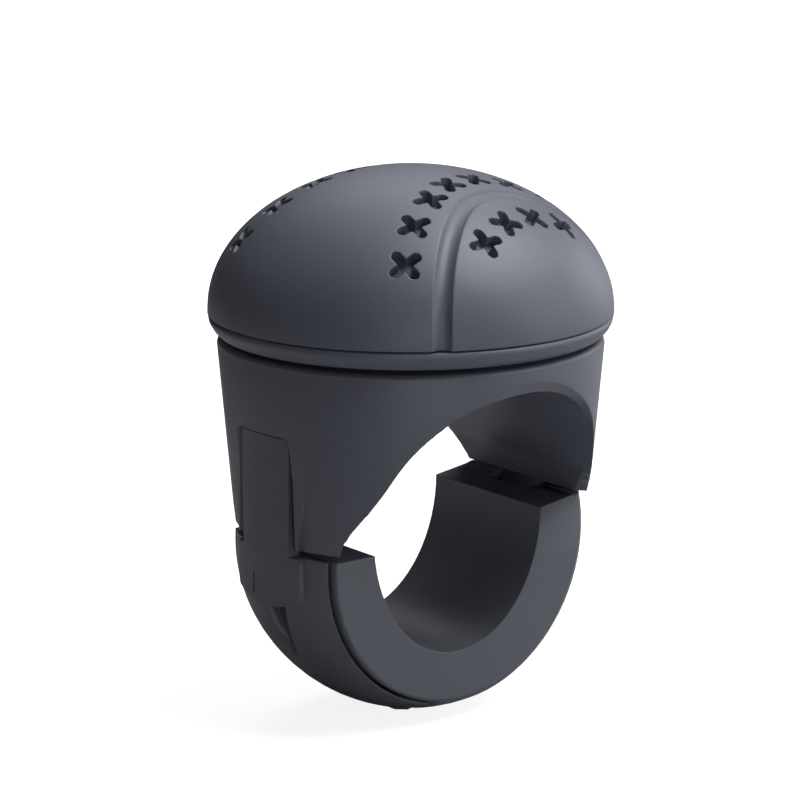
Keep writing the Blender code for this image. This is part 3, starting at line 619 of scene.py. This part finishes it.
floor = stage_floor("floor", 4.0, cad_low[2] - 0.00005)
print("floor at", round(floor.data.vertices[0].co.z / MM, 2), "mm")

# %% [markdown]
# The photograph's main light is a big soft lamp high on the right, which brightens the top of the
# dome. Strips low on the right and behind draw the right edges, a small card low in front lights the
# ring's face, and little reaches the left. Each lamp has its degrees round to the camera's right,
# its degrees up, its size in metres and its power in watts.

# %% Lamps and sky
world = bpy.data.worlds.new("studio")
bpy.context.scene.world = world
world.use_nodes = True
sky = world.node_tree
sky.nodes.clear()
sky_out = add_node(sky, "ShaderNodeOutputWorld")
dim = add_node(sky, "ShaderNodeBackground", Color=(0.9, 0.92, 1.0, 1), Strength=0.03)
white = add_node(sky, "ShaderNodeBackground", Color=(1, 1, 1, 1), Strength=1.0)
path = add_node(sky, "ShaderNodeLightPath")
add_node(
    sky,
    "ShaderNodeMixShader",
    [(0, path.outputs["Is Camera Ray"]), (1, dim.outputs[0]), (2, white.outputs[0])],
    [(0, sky_out.inputs["Surface"])],
)


def soft_lamp(name, place, aim, size, watts):
    """A square softbox at a place, turned to face a point."""
    lamp = bpy.data.lights.new(name, "AREA")
    lamp.shape = "SQUARE"
    lamp.size = size
    lamp.energy = watts
    made = bpy.data.objects.new(name, lamp)
    bpy.context.scene.collection.objects.link(made)
    made.location = place
    facing = made.location - Vector(aim)
    made.rotation_mode = "QUATERNION"
    made.rotation_quaternion = facing.to_track_quat("Z", "Y")
    return made


# Degrees round from -Y to -X and degrees up, at which the camera stands
CAMERA_TURN, CAMERA_RISE = np.radians(37.8), np.radians(13.15)
right = np.array([np.cos(CAMERA_TURN), -np.sin(CAMERA_TURN), 0.0])
ahead = np.array([np.sin(CAMERA_TURN), np.cos(CAMERA_TURN), 0.0])
middle = np.array([0.0, 0.0, 0.01])


def lamp_place(turn, rise, far=0.6):
    """Place of a lamp: degrees round to the camera's right from straight in front, and degrees up."""
    turn, rise = np.radians(turn), np.radians(rise)
    level = np.sin(turn) * right - np.cos(turn) * ahead
    return middle + far * (np.cos(rise) * level + np.array([0, 0, np.sin(rise)]))


LAMPS = {
    "key_softbox": (88.0, 62.0, 0.45, 5.2),
    "right_strip": (80.0, 12.0, 0.30, 0.8),
    "rim_strip": (130.0, 12.0, 0.30, 0.9),
    "back_softbox": (180.0, 50.0, 0.40, 1.1),
    "low_front_card": (8.0, 6.0, 0.16, 0.6),
    "left_card": (-100.0, 40.0, 0.40, 0.15),
}
lamps = [
    soft_lamp(name, lamp_place(turn, rise), middle, size, watts)
    for name, (turn, rise, size, watts) in LAMPS.items()
]
print("lamps:", [lamp.name for lamp in lamps])

# %% [markdown]
# The camera stands where the photograph was taken from: 500 mm away, 37.8 degrees round to the latch
# side and 13.15 degrees up, with a long lens. The numbers come from fitting the knob's ellipses.

# %% Camera
camera_far = 0.5
aim = np.array([0.0, 0.0, 0.015])
back = np.array([0.0, 0.0, np.sin(CAMERA_RISE)]) - ahead * np.cos(CAMERA_RISE)
lens = bpy.data.cameras.new("camera")
lens.sensor_width = 36.0
lens.lens = 161.9
lens.shift_x = -0.0134
lens.clip_start = 0.01
camera = bpy.data.objects.new("camera", lens)
bpy.context.scene.collection.objects.link(camera)
camera.location = aim + camera_far * back
camera.rotation_mode = "QUATERNION"
camera.rotation_quaternion = Vector(back).to_track_quat("Z", "Y")
bpy.context.scene.camera = camera
bpy.context.scene.view_settings.view_transform = "Standard"
print("camera at", np.round(np.array(camera.location) / MM, 1), "mm")
